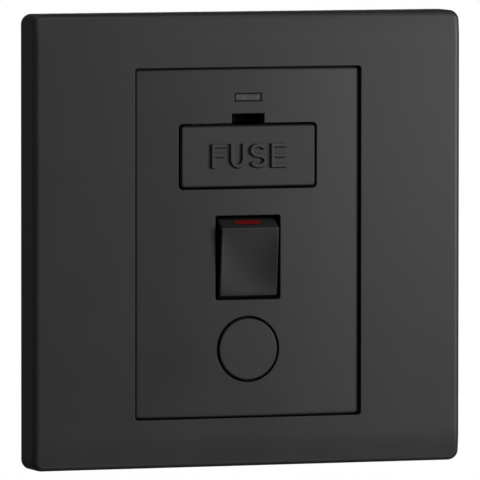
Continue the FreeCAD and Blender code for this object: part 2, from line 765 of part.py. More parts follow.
def make_contacts(name, side):
    across = f"{side} * dim.pole_offset"
    axis = (across, "-dim.arm_axis_depth", "dim.well_level", "-dim.arm_tilt")
    arm = new_body(f"contact_arm_{name}")
    face = "(dim.arm_half_gap + dim.arm_thick)"
    slab(arm, "dim.arm_half_gap", face,
         rectangle("dim.arm_wide", "dim.arm_top + dim.arm_bottom",
                   "0", "(dim.arm_top - dim.arm_bottom) / 2"))
    ear = "(dim.ridge_long / 2 + dim.fit_gap + dim.ear_thick / 2)"
    slab(arm, "-dim.ear_back", face, rectangle("dim.ear_thick", "2 * dim.ridge_radius", ear),
         rectangle("dim.ear_thick", "2 * dim.ridge_radius", f"-{ear}"))
    place(arm, *axis)
    moving = new_body(f"moving_contact_{name}")
    slab(moving, "dim.arm_half_gap - dim.contact_high", "dim.arm_half_gap",
         twelve_sided("dim.contact_radius", "0", "dim.contact_reach"))
    bevel_edges(moving, "dim.contact_bevel",
                lambda edge: on_level(edge, "dim.arm_half_gap - dim.contact_high"))
    place(moving, *axis)
    fixed = new_body(f"fixed_contact_{name}")
    slab(fixed, f"-{strip_front}", f"dim.fixed_contact_high - {strip_front}",
         twelve_sided("dim.contact_radius", across, fixed_contact_up))


# Rocker with its flash, plungers and springs, drawn about the pivot

def facet_point(share, deep="0"):
    """A point on the sloping top facet, or a given depth below it."""
    long = "sqrt(dim.rocker_facet_out ^ 2 + dim.rocker_facet_back ^ 2)"
    back = f"-dim.rocker_face + dim.rocker_facet_back * {share}"
    up = f"dim.rocker_half + dim.rocker_facet_out * {share}"
    return (f"{back} + {deep} * dim.rocker_facet_out / {long}",
            f"{up} - {deep} * dim.rocker_facet_back / {long}")


def flash_outline():
    return polygon(facet_point("dim.flash_from"), facet_point("dim.flash_to"),
                   facet_point("dim.flash_to", "dim.flash_deep"),
                   facet_point("dim.flash_from", "dim.flash_deep"))


def is_flash_corner(edge):
    box = edge.BoundBox
    at_end = abs(abs(box.XMin) - size("dim.flash_wide / 2")) + box.XLength < size("dim.thread_gap")
    return at_end and abs(edge.Length - size("dim.flash_deep")) < size("dim.thread_gap")


def rocker_section(skirt, facet_back):
    """The rocker's section: a hollow face between two sloping facets, and the skirt behind."""
    top = "(dim.rocker_half + dim.rocker_facet_out)"
    radius = "((dim.rocker_half ^ 2 + dim.rocker_dish ^ 2) / (2 * dim.rocker_dish))"
    bottom = "(dim.rocker_face - dim.rocker_dish)"
    points = (("-dim.rocker_face", "dim.rocker_half"), (f"-{facet_back}", top), (f"-{skirt}", top),
              (f"-{skirt}", f"-{top}"), (f"-{facet_back}", f"-{top}"),
              ("-dim.rocker_face", "-dim.rocker_half"))
    return arched(points, (f"-{bottom}", "0"), "DistanceX", f"-{bottom} - {radius}")


pivot = ("0", "-dim.pivot_depth", "dim.well_level", "dim.rocker_tilt")


def make_rocker():
    body = new_body("rocker")
    facet_back = "(dim.rocker_face - dim.rocker_facet_back)"
    skirt = f"({facet_back} - dim.rocker_skirt)"
    span(body, "YZ_Plane", "dim.rocker_wide", rocker_section(skirt, facet_back))
    round_edges(body, "dim.rocker_edge_round",
                lambda edge: edge.BoundBox.YMin < size("dim.thread_gap - dim.rocker_face"))
    under = "(dim.rocker_face - dim.rocker_wall)"
    cut(body, f"{skirt} - dim.cut_past", under,
        rectangle("dim.rocker_wide - 2 * dim.rocker_wall", "2 * dim.rocker_half - dim.rocker_wall"))
    slab(body, "-dim.rocker_block_back", f"{under} + dim.merge_depth",
         rectangle("dim.rocker_wide", "dim.rocker_block_high"))
    poles = ("dim.pole_offset", "-dim.pole_offset")
    slab(body, "-dim.hub_back", "0", *[disc("dim.hub_radius", across) for across in poles])
    trunnions = f"{well_inner_wide} + 2 * (dim.rib_wall - dim.fit_gap)"
    span(body, "YZ_Plane", trunnions, disc("dim.pivot_radius"))
    cut(body, "-dim.hub_back - dim.cut_past", "dim.rocker_block_back",
        *[twelve_sided("dim.plunger_radius + dim.fit_gap", across) for across in poles])
    cross_cut(body, "YZ_Plane", "dim.flash_wide", flash_outline())
    round_edges(body, "dim.flash_corner", is_flash_corner)
    place(body, *pivot)
    flash = new_body("rocker_flash")
    span(flash, "YZ_Plane", "dim.flash_wide", flash_outline())
    round_edges(flash, "dim.flash_corner", is_flash_corner)
    place(flash, *pivot)


def make_plunger(name, side):
    """A blunt-nosed plunger that rides in the rocker's hub."""
    body = new_body(f"plunger_{name}")
    low = "-dim.plunger_reach"
    across = f"{side} * dim.pole_offset"
    slab(body, low, "dim.plunger_long - dim.plunger_reach", twelve_sided("dim.plunger_radius", across))
    bevel_edges(body, "dim.plunger_nose", lambda edge: on_level(edge, low))
    place(body, *pivot)


def coil_ring(turn, level, across):
    """The four corners of the spring's square wire at one turn of the coil."""
    wire, radius = size("dim.spring_wire"), size("dim.spring_radius - dim.spring_wire")
    corners = ((wire, wire), (-wire, wire), (-wire, -wire), (wire, -wire))
    return [FreeCAD.Vector(across + (radius + out) * math.cos(turn), level + along,
                           (radius + out) * math.sin(turn)) for out, along in corners]


def make_spring(name, side):
    """A coil in straight lengths between the plunger and the blind end of its bore."""
    start = size("dim.spring_wire - dim.rocker_block_back")
    long = size("dim.plunger_reach - dim.plunger_long - dim.spring_wire") - start
    sides = round(size("dim.spring_sides"))
    steps = round(size("dim.spring_turns")) * sides
    across = side * size("dim.pole_offset")
    rings = [coil_ring(2 * math.pi * step / sides, start + long * step / steps, across)
             for step in range(steps + 1)]
    outlines = [rings[0], rings[-1]]
    for near, far in zip(rings, rings[1:]):
        for index in range(len(near)):
            following = (index + 1) % len(near)
            outlines.append([near[index], near[following], far[following]])
            outlines.append([near[index], far[following], far[index]])
    faces = [Part.Face(Part.makePolygon(outline + outline[:1])) for outline in outlines]
    shape = Part.Solid(Part.Shell(faces))
    if shape.Volume < 0:
        shape.reverse()
    spring = doc.addObject("Part::Feature", f"plunger_spring_{name}")
    spring.Label = f"plunger_spring_{name}"
    spring.Shape = shape
    turn = FreeCAD.Rotation(FreeCAD.Vector(1, 0, 0), size(pivot[3]))
    place_of_pivot = FreeCAD.Placement(FreeCAD.Vector(0, -size(pivot[1]), size(pivot[2])), turn)
    spring.Placement = place_of_pivot


# Fuse drawer and fuse

def make_fuse_drawer():
    body = new_body("fuse_carrier")
    face = "(dim.panel_front + dim.drawer_proud)"
    behind = f"({face} - dim.drawer_plate)"
    wide, high = "(dim.drawer_wide - 2 * dim.drawer_gap)", "(dim.drawer_high - 2 * dim.drawer_gap)"
    slab(body, behind, face,
         round_rectangle(wide, high, "dim.drawer_corner - dim.drawer_gap / 2", "0", "dim.drawer_level"))
    bevel_edges(body, "dim.drawer_edge_bevel", lambda edge: on_level(edge, face))
    inner = "(dim.fuse_long / 2 + dim.fuse_end_gap)"
    stop = f"({wide} / 2 + dim.drawer_stop - {inner})"
    merge = f"{behind} + dim.merge_depth"
    slab(body, f"-{drawer_back}", merge, *[
        rectangle("dim.drawer_wall", "dim.drawer_high - 4 * dim.drawer_gap",
                  f"{side} * ({inner} + dim.drawer_wall / 2)", "dim.drawer_level") for side in (1, -1)])
    slab(body, f"-{drawer_back}", f"dim.drawer_stop_thick - {drawer_back}", *[
        rectangle(stop, "dim.drawer_high / 2", f"{side} * ({inner} + {stop} / 2)", "dim.drawer_level")
        for side in (1, -1)])
    grip_off = "(dim.fuse_barrel_radius + dim.fit_gap + dim.fuse_grip_thick / 2)"
    slab(body, "-dim.fuse_depth - dim.fuse_barrel_radius / 2", merge, *[
        rectangle("dim.fuse_grip_wide", "dim.fuse_grip_thick",
                  "0", f"dim.drawer_level + {side} * {grip_off}")
        for side in (1, -1)])
    cut(body, f"{behind} + 2 * dim.merge_depth", f"{face} - dim.notch_skin",
        rectangle("dim.notch_wide", "2 * dim.rib_wall", "0", f"dim.drawer_level + {high} / 2"))


def make_fuse():
    across_axis = FreeCAD.Rotation(FreeCAD.Vector(0, 0, 1), 90)
    barrel_half = "(dim.fuse_long / 2 - dim.fuse_cap_end)"
    cap_mouth = "dim.fuse_long / 2 - dim.fuse_cap_long"
    barrel = [(f"-{barrel_half}", "0"), (f"-{barrel_half}", "dim.fuse_barrel_radius"),
              (barrel_half, "dim.fuse_barrel_radius"), (barrel_half, "0")]
    cap = [("dim.fuse_long / 2", "0"), ("dim.fuse_long / 2", "dim.fuse_radius"),
           (cap_mouth, "dim.fuse_radius"), (cap_mouth, "dim.fuse_barrel_radius"),
           (barrel_half, "dim.fuse_barrel_radius"), (barrel_half, "0")]
    pieces = {"fuse_barrel": (1, barrel), "fuse_cap_right": (1, cap), "fuse_cap_left": (-1, cap)}
    for name, (side, points) in pieces.items():
        body = new_body(name)
        outline = [(f"{-side} * ({along})", up) for along, up in points]
        turned(body, "PartDesign::Revolution", polygon(*outline))
        body.Placement = FreeCAD.Placement(FreeCAD.Vector(), across_axis)
        body.setExpression(".Placement.Base.y", "dim.fuse_depth")
        body.setExpression(".Placement.Base.z", "dim.drawer_level")


# Indicator

def make_indicator():
    lens = new_body("indicator_lens")
    wide, high = "(dim.window_wide - 2 * dim.window_gap)", "(dim.window_high - 2 * dim.window_gap)"
    slab(lens, f"{panel_inside} - dim.lens_flange", panel_inside,
         rectangle(f"{wide} + 2 * dim.lens_flange", f"{high} + 2 * dim.lens_flange",
                   "0", "dim.window_level"))
    slab(lens, panel_inside, "dim.panel_front - dim.window_gap",
         rectangle(wide, high, "0", "dim.window_level"))
    board = new_body("indicator_board")
    slab(board, "dim.board_front - dim.board_thick", "dim.board_front",
         rectangle("dim.board_wide", "dim.board_high", "0", "dim.board_level"))
    led = new_body("indicator_led")
    slab(led, "dim.board_front", f"{panel_inside} - dim.lens_flange - dim.fit_gap",
         rectangle("dim.led_wide", "dim.led_high", "0", "dim.window_level"))
    resistor = new_body("indicator_resistor")
    span(resistor, "YZ_Plane", "dim.resistor_long",
         twelve_sided("dim.resistor_radius", "dim.board_thick - dim.board_front + dim.resistor_radius",
                      "dim.board_level + dim.resistor_rise"))
    board_back = "dim.board_front - dim.board_thick"
    neutral = new_body("indicator_lead_neutral")
    slab(neutral, f"-{strip_front}", board_back,
         rectangle("dim.lead_side", "dim.lead_side", "dim.neutral_lead_x", "dim.lead_level"))
    live = new_body("indicator_lead_live")
    slab(live, "-dim.live_lead_depth", board_back,
         rectangle("dim.lead_side", "dim.lead_side", "dim.live_lead_x", "dim.lead_level"))
    down = f"(dim.lead_level + dim.lead_side / 2 - {fork_top})"
    span(live, "XY_Plane", down, middle=f"{fork_top} + {down} / 2",
         *[rectangle("dim.lead_side", "dim.lead_side", "dim.live_lead_x", "dim.live_lead_depth")])


# Cord outlet blank

def make_blank():
    """A plug that fills the cord outlet: a disc on a slit, springy skirt."""
    body = new_body("cord_outlet_blank")
    face, skirt = "(dim.outlet_radius - dim.blank_gap)", "(dim.outlet_radius - dim.fit_gap)"
    front = "(dim.panel_front + dim.blank_proud)"
    step, back = f"({front} - dim.blank_plate)", f"({front} - dim.blank_long)"
    bore = f"({skirt} - dim.blank_wall)"
    turned(body, "PartDesign::Revolution", polygon(
        (f"-{front}", "0"), (f"-{front}", face), (f"-{step}", face), (f"-{step}", skirt),
        (f"-{back}", skirt), (f"-{back}", bore), (f"-{step}", bore), (f"-{step}", "0")))
    bevel_edges(body, "dim.blank_edge_bevel", lambda edge: on_level(edge, front))
    slits = (("dim.blank_slit", "2 * dim.outlet_radius"), ("2 * dim.outlet_radius", "dim.blank_slit"))
    for slit in slits:
        cut(body, f"{back} - dim.cut_past", f"{step} - dim.blank_plate", rectangle(*slit))
    place(body, "0", "0", "dim.outlet_level")


make_surround()
make_front_moulding()
make_rear_housing()
for name, where in terminal_by_name.items():
    make_terminal(name, *where)
    make_screw(f"{name}_screw", where, f"-{floor_depth} - dim.terminal_screw_head_high",
               "terminal_screw", f"({floor_depth} - dim.wire_depth - dim.wire_radius)")
for number, where in enumerate(post_places, 1):
    make_screw(f"housing_screw_{number}", where, housing_back, "screw",
               "(dim.housing_depth - dim.screw_head_high + dim.screw_point)")
make_fuse_clips()
make_pole_strips()
for name, side in (("live", -1), ("neutral", 1)):
    make_contacts(name, side)
    make_plunger(name, side)
    make_spring(name, side)
make_rocker()
make_fuse_drawer()
make_fuse()
make_indicator()
make_blank()
doc.recompute()


# Checks and export

def check_features():
    for item in doc.Objects:
        if "Invalid" in item.State or "Error" in item.State:
            owner = item.getParentGeoFeatureGroup()
            place = owner.Label if owner else "the document"
            raise SystemExit(f"{item.Label} of {place} failed: {item.State}")
        if item.TypeId == "PartDesign::Pocket":
            if item.Shape.Volume > item.BaseFeature.Shape.Volume - least_cut:
                raise SystemExit(f"{item.Name} of {item.getParentGeoFeatureGroup().Label} cuts nothing")


check_features()
os.makedirs("parts", exist_ok=True)
for item in doc.Objects:
    if item.TypeId not in ("PartDesign::Body", "Part::Feature"):
        continue
    shape = item.Shape
    if shape.isNull() or not shape.isValid() or len(shape.Solids) != 1:
        raise SystemExit(f"{item.Label} is not one valid solid")
    shape.exportStep(f"parts/{item.Label}.step")
    print(f"{item.Label}: {shape.Volume:.1f} cubic mm")
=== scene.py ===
import bmesh
import bpy
import json
import math
from mathutils import Matrix, Vector


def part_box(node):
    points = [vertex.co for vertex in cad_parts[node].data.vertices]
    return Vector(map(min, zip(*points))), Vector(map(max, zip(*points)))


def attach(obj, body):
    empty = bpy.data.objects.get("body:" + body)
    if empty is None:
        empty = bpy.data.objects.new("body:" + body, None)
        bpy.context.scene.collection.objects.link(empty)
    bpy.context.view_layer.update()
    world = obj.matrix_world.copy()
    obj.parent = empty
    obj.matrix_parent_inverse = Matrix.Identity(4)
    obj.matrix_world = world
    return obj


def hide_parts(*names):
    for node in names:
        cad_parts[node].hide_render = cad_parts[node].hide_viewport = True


# Looks of the fused spur unit. Lengths in the dictionaries are millimetres and angles are degrees.
# Lamps alone are in metres and watts. The front looks along -Y, so a level out of the wall is -Y.

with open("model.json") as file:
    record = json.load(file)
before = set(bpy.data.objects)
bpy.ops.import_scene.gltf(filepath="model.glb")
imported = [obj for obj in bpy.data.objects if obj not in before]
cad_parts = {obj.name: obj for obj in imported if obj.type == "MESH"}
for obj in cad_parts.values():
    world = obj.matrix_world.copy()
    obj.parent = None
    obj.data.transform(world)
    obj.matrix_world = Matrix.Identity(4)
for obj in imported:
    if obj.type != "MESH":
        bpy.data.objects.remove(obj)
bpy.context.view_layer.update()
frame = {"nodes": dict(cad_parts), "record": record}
nodes = frame["nodes"]
part = frame["record"]
metre = 0.001      # metres in a millimetre
print("frame loaded:", len(nodes), "nodes")


def middleOf(node):
    low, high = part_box(node)
    return (low + high) / 2 / metre


def addObject(name, data):
    made = bpy.data.objects.new(name, data)
    bpy.context.scene.collection.objects.link(made)
    return made


# Shader and geometry graphs

class Signal:
    # A socket that can stand in a Python expression
    def __init__(self, graph, socket):
        self.graph = graph
        self.socket = socket

    def __add__(self, other):
        return self.graph.maths("ADD", self, other)

    def __radd__(self, other):
        return self.graph.maths("ADD", other, self)

    def __sub__(self, other):
        return self.graph.maths("SUBTRACT", self, other)

    def __rsub__(self, other):
        return self.graph.maths("SUBTRACT", other, self)

    def __mul__(self, other):
        return self.graph.maths("MULTIPLY", self, other)

    def __rmul__(self, other):
        return self.graph.maths("MULTIPLY", other, self)

    def __truediv__(self, other):
        return self.graph.maths("DIVIDE", self, other)

    def __rtruediv__(self, other):
        return self.graph.maths("DIVIDE", other, self)

    def __gt__(self, other):
        return self.graph.maths("GREATER_THAN", self, other)

    def __lt__(self, other):
        return self.graph.maths("LESS_THAN", self, other)


class Graph:
    def __init__(self, tree):
        self.tree = tree

    # A socket by its identifier, or else by its name or number
    def find(self, sockets, key):
        return next((one for one in sockets if one.identifier == key), None) or sockets[key]

    # A list holds the links of a socket that takes several
    def feed(self, socket, value):
        for one in value if isinstance(value, list) else [value]:
            if isinstance(one, Signal):
                self.tree.links.new(one.socket, socket)
            else:
                socket.default_value = one

    # Any node: its settings as keywords, then the values or links of its inputs
    def node(self, kind, inputs=None, output=0, **settings):
        made = self.tree.nodes.new(kind)
        for key, value in settings.items():
            setattr(made, key, value)
        for key, value in (inputs or {}).items():
            self.feed(self.find(made.inputs, key), value)
        return Signal(self, self.find(made.outputs, output)) if len(made.outputs) else made

    def maths(self, operation, first, second=0.0):
        return self.node("ShaderNodeMath", {0: first, 1: second}, operation=operation)

    def vector(self, operation, first, second):
        return self.node("ShaderNodeVectorMath", {0: first, 1: second}, operation=operation)

    def clamp(self, value):
        return self.node("ShaderNodeClamp", {"Value": value})

    # From 0 at the start to 1 at the end, with soft ends
    def ramp(self, value, start, end):
        names = {"Value": value, "From Min": start, "From Max": end}
        return self.node("ShaderNodeMapRange", names, interpolation_type="SMOOTHSTEP")

    def mixColour(self, share, first, second):
        names = {"Factor_Float": share, "A_Color": first, "B_Color": second}
        return self.node("ShaderNodeMix", names, output="Result_Color", data_type="RGBA")


class Finish(Graph):
    # A material with one Principled shader
    def __init__(self, name):
        self.material = bpy.data.materials.new(name)
        self.material.use_nodes = True
        super().__init__(self.material.node_tree)
        self.tree.nodes.clear()
        here = self.node("ShaderNodeTexCoord", output="Object")
        # object coordinates in millimetres
        self.here = self.node("ShaderNodeVectorMath", {0: here, "Scale": 1 / metre}, operation="SCALE")

    # A pattern is its scale per millimetre, detail and roughness, and it may crowd along an axis
    def noise(self, pattern, crowd=(1, 1, 1)):
        scale, detail, roughness = pattern
        place = self.vector("MULTIPLY", self.here, crowd)
        return self.node("ShaderNodeTexNoise", {"Vector": place, "Scale": scale, "Detail": detail,
                                                "Roughness": roughness})

    def axis(self, name):
        return self.node("ShaderNodeSeparateXYZ", {0: self.here}, output=name)

    # Bumps stack: the last one made is the one the shader uses
    def bump(self, height, depth, before=None):
        inputs = {"Height": height, "Distance": depth * metre, "Strength": 1.0}
        if before is not None:
            inputs["Normal"] = before
        return self.node("ShaderNodeBump", inputs)

    def set(self, **values):
        inputs = {key.replace("_", " "): value for key, value in values.items()}
        shader = self.node("ShaderNodeBsdfPrincipled", inputs)
        self.node("ShaderNodeOutputMaterial", {"Surface": shader})
        return self.material


noiseMiddle = 0.5


def centred(noise):
    return noise - noiseMiddle


def shade(colour, by=1.0):
    return tuple(value * by for value in colour) + (1,)


# Finishes

plastic = {
    "grain": (5.5, 3, 0.6),
    "grainDepth": 0.004,
    "patches": (0.09, 5, 0.62),
    "patchTint": 0.75,           # how strongly the broad patches change the tint
    "tints": (0.8, 1.2),         # darkest and lightest, as shares of the colour
    "wave": (0.05, 1, 0.5),      # slow unevenness of moulded faces
    "waveDepth": 0.03,
    "edge": 0.22,                # radius of the softened edges
    "rough": (0.10, 0.14),       # changes of roughness by grain and by patches
    "recessShade": (0.1, 0.5),        # share of the colour left where shade is painted on deep surfaces, and roughness added there
}


def mouldedPlastic(name, colour, roughness, speckle=0.12, grain=1.0, edge=1.0, shadeDepths=None):
    made = Finish(name)
    fine = made.noise(plastic["grain"])
    broad = made.noise(plastic["patches"])
    tint = made.clamp(centred(fine) * speckle + centred(broad) * plastic["patchTint"] + noiseMiddle)
    darkest, lightest = plastic["tints"]
    tone = made.mixColour(tint, shade(colour, darkest), shade(colour, lightest))
    softened = made.node("ShaderNodeBevel", {"Radius": plastic["edge"] * edge * metre})
    wave = made.bump(made.noise(plastic["wave"]), plastic["waveDepth"], softened)
    normal = made.bump(fine, plastic["grainDepth"] * grain, wave)
    byGrain, byPatches = plastic["rough"]
    rough = made.clamp(roughness + centred(fine) * byGrain + centred(broad) * byPatches)
    if shadeDepths:      # between these two levels a surface turns dull and takes painted shade, fully so behind the second
        left, added = plastic["recessShade"]
        share = made.ramp(made.axis("Y"), -shadeDepths[0], -shadeDepths[1])
        tone = made.mixColour(share, tone, shade(colour, left))
        rough = made.clamp(rough + share * added)
    return made.set(Base_Color=tone, Roughness=rough, Normal=normal, Specular_IOR_Level=0.5)


metal = {
    "lines": (3.0, 4, 0.7),      # drawing or rolling marks, crowded along one axis
    "lineDepth": 0.012,
    "patches": (0.35, 3, 0.5),
    "tarnish": (0.45, 2.5),      # where it begins in the patches, and how fast it grows
    "dull": 0.55,                # share of the colour where fully tarnished
    "rough": (0.22, 0.3),        # changes of roughness by marks and by tarnish
}


def pressedMetal(name, colour, roughness, crowd=(1, 1, 6), tarnish=0.25):
    made = Finish(name)
    lines = made.noise(metal["lines"], crowd)
    start, growth = metal["tarnish"]
    share = made.clamp((made.noise(metal["patches"]) - start) * growth) * tarnish
    tone = made.mixColour(share, shade(colour), shade(colour, metal["dull"]))
    byLines, byTarnish = metal["rough"]
    rough = made.clamp(roughness + centred(lines) * byLines + share * byTarnish)
    normal = made.bump(lines, metal["lineDepth"])
    return made.set(Base_Color=tone, Roughness=rough, Normal=normal, Metallic=1.0)


# the joint colour is shade painted round the bar where it meets the rocker
redBar = {"grain": (4, 2, 0.5), "depth": 0.004, "darkest": 0.75, "rough": (0.35, 0.2),
          "joint": (0.006, 0.004, 0.004)}


def redPlastic(name, colour, joint=None):
    made = Finish(name)
    fine = made.noise(redBar["grain"])
    tone = made.mixColour(fine, shade(colour, redBar["darkest"]), shade(colour))
    if joint:      # shade painted along the bar's joint with the rocker, in front of the first level and behind the second
        front, back = joint
        edge = made.maths("MAXIMUM", made.axis("Y") < front, made.axis("Y") > back)
        tone = made.mixColour(edge, tone, shade(redBar["joint"]))
    rough, byGrain = redBar["rough"]
    return made.set(Base_Color=tone, Roughness=made.clamp(rough + centred(fine) * byGrain),
                    Normal=made.bump(fine, redBar["depth"]), Specular_IOR_Level=0.4)


lens = {
    "frost": 2.2,                # cells per millimetre
    "frostDepth": 0.05,
    "mottle": (3.4, 4, 0.75),
    "mottleDepth": 0.16,
    "contrast": (4.5, 1.9),
    "dark": (0.014, 0.014, 0.014),
    "light": (0.1, 0.097, 0.094),
    "half": (2.42, 0.55),        # of the window inside its joint of painted shade
    # the joint's colour is shade painted round the window
    "joint": (0.001, 0.001, 0.001),
    "rough": (0.28, 0.2, 0.6),   # of the window, then added by mottle and in the joint
}


def frostedLens(name, look):
    made = Finish(name)
    frost = made.node("ShaderNodeTexVoronoi", {"Vector": made.here, "Scale": look["frost"]})
    mottle = made.noise(look["mottle"])
    gain, loss = look["contrast"]
    tone = made.mixColour(made.clamp(mottle * gain - loss), shade(look["dark"]), shade(look["light"]))
    halfX, halfZ = look["half"]      # past these lies the joint round the window, painted as shade
    across = made.maths("ABSOLUTE", made.axis("X")) > halfX
    up = made.maths("ABSOLUTE", made.axis("Z") - middleOf("indicator_lens").z) > halfZ
    joint = made.maths("MAXIMUM", across, up)
    tone = made.mixColour(joint, tone, shade(look["joint"]))
    normal = made.bump(mottle, look["mottleDepth"], made.bump(frost, look["frostDepth"]))
    rough, byMottle, inJoint = look["rough"]
    rough = made.clamp(rough + mottle * byMottle + joint * inJoint)
    return made.set(Base_Color=tone, Roughness=rough, Normal=normal, Specular_IOR_Level=0.6)


fuseTube = {"pores": (7, 4, 0.7), "depth": 0.02, "clouds": (0.4, 2, 0.5), "contrast": (1.4, 0.3),
            "dark": (0.62, 0.59, 0.52), "light": (0.86, 0.84, 0.79), "rough": (0.55, 0.3)}


def ceramic(name, look):
    made = Finish(name)
    pores = made.noise(look["pores"])
    gain, loss = look["contrast"]
    tone = made.mixColour(made.clamp(pores * gain - loss), shade(look["dark"]), shade(look["light"]))
    rough, byClouds = look["rough"]
    rough = made.clamp(rough + centred(made.noise(look["clouds"])) * byClouds)
    return made.set(Base_Color=tone, Roughness=rough, Normal=made.bump(pores, look["depth"]))


board = {"weave": 2.2, "distortion": 0.6, "depth": 0.008, "dark": (0.012, 0.10, 0.04),
         "light": (0.025, 0.17, 0.07), "rough": (0.3, 0.12)}


def circuitBoard(name, look):
    made = Finish(name)
    weave = made.node("ShaderNodeTexWave", {"Vector": made.here, "Scale": look["weave"],
                                            "Distortion": look["distortion"]})
    tone = made.mixColour(weave, shade(look["dark"]), shade(look["light"]))
    rough, byWeave = look["rough"]
    return made.set(Base_Color=tone, Roughness=made.clamp(rough + weave * byWeave),
                    Normal=made.bump(weave, look["depth"]))


resistor = {
    "bands": (0.42, 0.72, 2.2),      # scale of the wave, where in it a band begins, half the bands' run
    "band": (0.22, 0.08, 0.03),
    "grain": (5, 2, 0.5),
    "depth": 0.006,
    "dark": (0.50, 0.37, 0.22),
    "light": (0.60, 0.46, 0.30),
    "rough": (0.4, 0.2),
}


def resistorPaint(name, look):
    made = Finish(name)
    scale, start, reach = look["bands"]
    saw = made.node("ShaderNodeTexWave", {"Vector": made.here, "Scale": scale}, wave_profile="SAW")
    stripe = (saw > start) * (made.maths("ABSOLUTE", made.axis("X")) < reach)
    fine = made.noise(look["grain"])
    body = made.mixColour(fine, shade(look["dark"]), shade(look["light"]))
    tone = made.mixColour(stripe, body, shade(look["band"]))
    rough, byGrain = look["rough"]
    return made.set(Base_Color=tone, Roughness=made.clamp(rough + centred(fine) * byGrain),
                    Normal=made.bump(fine, look["depth"]))


# Each slot's finish: its colour and roughness, then what differs from the usual
even = (1, 1, 1)      # marks that crowd along no axis
looks = {
    "surround_plastic": mouldedPlastic("surroundPlastic", (0.030, 0.0295, 0.029), 0.47),
    # the moulding, drawer and blank take painted shade on surfaces set deeper than their faces: the
    # notch, the openings and the gaps round the pieces
    "moulding_plastic": mouldedPlastic("mouldingPlastic", (0.030, 0.0295, 0.029), 0.47, shadeDepths=(6.4, 5.6)),
    "housing_plastic": mouldedPlastic("housingPlastic", (0.045, 0.045, 0.046), 0.55, grain=2.0),
    "drawer_plastic": mouldedPlastic("drawerPlastic", (0.031, 0.0305, 0.030), 0.47, shadeDepths=(7.0, 6.86)),
    "rocker_plastic": mouldedPlastic("rockerPlastic", (0.023, 0.0227, 0.0225), 0.40, grain=0.7),
    "blank_plastic": mouldedPlastic("blankPlastic", (0.032, 0.0315, 0.031), 0.47, shadeDepths=(7.05, 6.9)),
    "plunger_plastic": mouldedPlastic("plungerPlastic", (0.70, 0.67, 0.60), 0.45, speckle=0.3),
    "flash_red": redPlastic("flashRed", (0.2, 0.01, 0.01), joint=(-7.13, -5.98)),
    "lens_plastic": frostedLens("lensPlastic", lens),
    "spring_steel": pressedMetal("springSteel", (0.58, 0.58, 0.59), 0.3, even, 0.1),
    "brass": pressedMetal("brass", (0.58, 0.43, 0.2), 0.4),
    "zinc_steel": pressedMetal("zincSteel", (0.66, 0.67, 0.69), 0.35, (1, 4, 1), 0.3),
    "copper_arm": pressedMetal("copperArm", (0.75, 0.44, 0.28), 0.34),
    "contact_silver": pressedMetal("contactSilver", (0.83, 0.82, 0.79), 0.25, even, 0.35),
    "fuse_ceramic": ceramic("fuseCeramic", fuseTube),
    "fuse_plating": pressedMetal("fusePlating", (0.74, 0.73, 0.70), 0.22, (6, 1, 1), 0.2),
    "board_green": circuitBoard("boardGreen", board),
    "lamp_red": redPlastic("lampRed", (0.45, 0.04, 0.03)),
    "resistor_body": resistorPaint("resistorBody", resistor),
    "lead_tin": pressedMetal("leadTin", (0.68, 0.68, 0.67), 0.35, even, 0.3),
}
slotOf = {entry["node"]: entry["material_slot"] for entry in part["subparts"]}
for name, made in nodes.items():
    made.data.materials.clear()
    made.data.materials.append(looks[slotOf[name]])
print("finishes:", len(looks))


# Raised lettering on the fuse drawer

lettering = {
    "height": 4.72,              # of the capitals
    "stroke": 0.84,
    "rise": 0.5,                 # above the drawer's face
    "draft": 0.08,               # by which each side leans in
    "lean": (-0.03, -0.16),      # the foot's place beside the top: the undersides lean most
    "ease": 0.1,                 # bevel round the flat top
    "sink": 0.1,                 # depth set into the face
    "across": {"F": (-7.57, 3.1), "U": (-3.8, 3.2), "S": (0.1, 3.65), "E": (4.4, 3.2)},
    "lift": 0.09,                # of the capitals' middle above the drawer's
}
letterForm = {
    "steps": 18,                 # of an arc
    "bars": {"F": (0.53, 0.9), "E": (0.5, 0.92)},      # the middle bar's level and length
    "bowl": 1.12,                # of the U, high to wide
    "bows": {"upper": (0.95, 18, 262), "lower": (1.0, 82, -165)},      # of the S: width and both angles
    "sharpest": 0.35,            # least divisor of a mitre, so that sharp corners stay short
}
# the letters' walls below their tops take painted shade, for dark outlines round the capitals
letterPlastic = mouldedPlastic("letterPlastic", (0.042, 0.0415, 0.041), 0.44, edge=0.2, shadeDepths=(7.43, 7.3))


def strip(path, half):
    # The outline of a stroke of even width along a path
    left, right = [], []
    for index, point in enumerate(path):
        before = path[max(index - 1, 0)]
        after = path[min(index + 1, len(path) - 1)]
        run = (after - before).normalized()
        side = Vector((-run.y, run.x)) * half
        left.append(point + side)
        right.append(point - side)
    return left + right[::-1]


def arc(centre, radius, start, end):
    steps = letterForm["steps"]
    turns = [math.radians(start + (end - start) * step / steps) for step in range(steps + 1)]
    return [Vector((centre[0] + radius[0] * math.cos(turn), centre[1] + radius[1] * math.sin(turn)))
            for turn in turns]


def barPoints(letter, wide, high, stroke):
    # Round the middle bar and the top one, from below
    level, length = letterForm["bars"][letter]
    low, top = high * level - stroke / 2, high * level + stroke / 2
    return [(stroke, low), (wide * length, low), (wide * length, top), (stroke, top),
            (stroke, high - stroke), (wide, high - stroke), (wide, high), (0, high)]


def letterF(wide, high, stroke):
    foot = [(0, 0), (stroke, 0)]
    return [Vector(point) for point in foot + barPoints("F", wide, high, stroke)]


def letterE(wide, high, stroke):
    foot = [(0, 0), (wide, 0), (wide, stroke), (stroke, stroke)]
    return [Vector(point) for point in foot + barPoints("E", wide, high, stroke)]


def letterU(wide, high, stroke):
    half = (wide - stroke) / 2
    bend = (half, half * letterForm["bowl"])
    bottom = arc((wide / 2, stroke / 2 + bend[1]), bend, 180, 360)
    path = [Vector((stroke / 2, high))] + bottom + [Vector((wide - stroke / 2, high))]
    return strip(path, stroke / 2)


